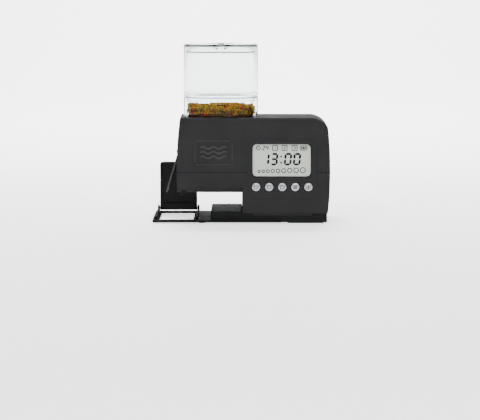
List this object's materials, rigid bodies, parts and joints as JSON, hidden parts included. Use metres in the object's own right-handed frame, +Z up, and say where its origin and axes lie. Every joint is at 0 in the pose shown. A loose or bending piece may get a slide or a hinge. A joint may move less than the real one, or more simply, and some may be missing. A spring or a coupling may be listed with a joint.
{
  "type": "aquarium fish feeder",
  "caption": "Automatic fish feeder: clear food hopper on a charcoal housing with display, buttons and outlet flap, docked on a plate with an open hatch.",
  "frame": {"origin": "centre of the centre pad under the base plate, on the surface the base stands on", "axes": "+X from the outlet end towards the control column, +Y to the rear, +Z up"},
  "size_m": [0.1773, 0.077, 0.1775],
  "materials": {
    "base_grey": "satin moulded plastic",
    "pad_rubber": "soft rubber",
    "screw_steel": "plated steel",
    "hatch_black": "satin black plastic",
    "housing_charcoal": "satin charcoal plastic",
    "window_clear": "clear plastic",
    "lcd_grey": "reflective liquid crystal glass",
    "holder_white": "white plastic",
    "board_green": "solder mask",
    "part_black": "black plastic",
    "button_silver": "silver-white satin plastic",
    "hopper_clear": "clear plastic",
    "gasket_grey": "soft rubber",
    "feed_black": "black plastic",
    "food": "dry food granules",
    "screw_white": "white plastic",
    "bush_brass": "brass",
    "motor_can": "plated can",
    "cell_green": "printed film over a can",
    "contact_nickel": "nickel plate"
  },
  "bodies": {
    "base": {"mount_plate": "base_grey", "dock_block": "base_grey", "base_pads": "pad_rubber", "base_screws": "screw_steel"},
    "hatch": {"hatch_door": "hatch_black", "hatch_pin": "screw_steel"},
    "feeder": {"upper_housing": "housing_charcoal", "lower_housing": "housing_charcoal", "housing_screws": "screw_steel", "control_panel": "housing_charcoal", "display_window": "window_clear", "display_module": "lcd_grey", "display_holder": "holder_white", "main_board": "board_green", "board_parts": "part_black", "tact_switches": "part_black", "hopper_collar": "hopper_clear", "collar_gasket": "gasket_grey", "feed_funnel": "feed_black", "food_granules": "food", "feed_tube": "feed_black", "outlet_frame": "housing_charcoal", "screw_bush": "bush_brass", "gear_plate_inner": "feed_black", "gear_plate_outer": "feed_black", "gear_posts": "screw_steel", "idler_axle": "screw_steel", "gear_motor": "motor_can", "motor_cap": "part_black", "battery_case": "part_black", "battery_cells": "cell_green", "battery_contacts": "contact_nickel"},
    "tank": {"hopper_tank": "hopper_clear"},
    "lid": {"hopper_lid": "hopper_clear", "lid_seal": "gasket_grey"},
    "flap": {"outlet_flap": "housing_charcoal", "flap_pin": "screw_steel"},
    "screw": {"feed_screw": "screw_white", "screw_shaft": "screw_steel", "screw_gear": "screw_white"},
    "idler": {"idler_gear": "screw_white"},
    "rotor": {"motor_pinion": "bush_brass", "motor_shaft": "screw_steel"},
    "cover": {"battery_cover": "housing_charcoal"},
    "power_button_cap": {"power_button": "button_silver"},
    "select_button_cap": {"select_button": "button_silver"},
    "amount_button_cap": {"amount_button": "button_silver"},
    "set_button_cap": {"set_button": "button_silver"},
    "manual_button_cap": {"manual_button": "button_silver"}
  },
  "joints": [
    {"name": "hatch_hinge", "type": "hinge", "parent": "base", "child": "hatch", "pos_m": [0, 0.041, 0.0064], "axis": [1, 0, 0], "range_deg": [-20, 6]},
    {"name": "feeder_lift", "type": "slide", "parent": "base", "child": "feeder", "axis": [0, 0, 1], "range_m": [0, 0.03]},
    {"name": "tank_lift", "type": "slide", "parent": "feeder", "child": "tank", "axis": [0, 0, 1], "range_m": [0, 0.03]},
    {"name": "lid_lift", "type": "slide", "parent": "tank", "child": "lid", "axis": [0, 0, 1], "range_m": [0, 0.025]},
    {"name": "flap_hinge", "type": "hinge", "parent": "feeder", "child": "flap", "pos_m": [-0.0623, 0, 0.071], "axis": [0, 1, 0], "range_deg": [-12.5, 35]},
    {"name": "screw_turn", "type": "hinge", "parent": "feeder", "child": "screw", "pos_m": [0, 0, 0.047], "axis": [1, 0, 0], "continuous": true},
    {"name": "idler_turn", "type": "hinge", "parent": "feeder", "child": "idler", "pos_m": [0, -0.0047, 0.06313], "axis": [1, 0, 0], "continuous": true},
    {"name": "motor_turn", "type": "hinge", "parent": "feeder", "child": "rotor", "pos_m": [0, -0.0047, 0.07993], "axis": [1, 0, 0], "continuous": true},
    {"name": "cover_slide", "type": "slide", "parent": "feeder", "child": "cover", "axis": [0, 1, 0], "range_m": [0, 0.012]},
    {"name": "power_button_press", "type": "slide", "parent": "feeder", "child": "power_button_cap", "axis": [0, 1, 0], "range_m": [0, 0.0008], "stiffness_N_per_m": 500},
    {"name": "select_button_press", "type": "slide", "parent": "feeder", "child": "select_button_cap", "axis": [0, 1, 0], "range_m": [0, 0.0008], "stiffness_N_per_m": 500},
    {"name": "amount_button_press", "type": "slide", "parent": "feeder", "child": "amount_button_cap", "axis": [0, 1, 0], "range_m": [0, 0.0008], "stiffness_N_per_m": 500},
    {"name": "set_button_press", "type": "slide", "parent": "feeder", "child": "set_button_cap", "axis": [0, 1, 0], "range_m": [0, 0.0008], "stiffness_N_per_m": 500},
    {"name": "manual_button_press", "type": "slide", "parent": "feeder", "child": "manual_button_cap", "axis": [0, 1, 0], "range_m": [0, 0.0008], "stiffness_N_per_m": 500}
  ],
  "couplings": [
    {"joint": "idler_turn", "follows": "screw_turn", "ratio": -2},
    {"joint": "motor_turn", "follows": "screw_turn", "ratio": 5}
  ]
}
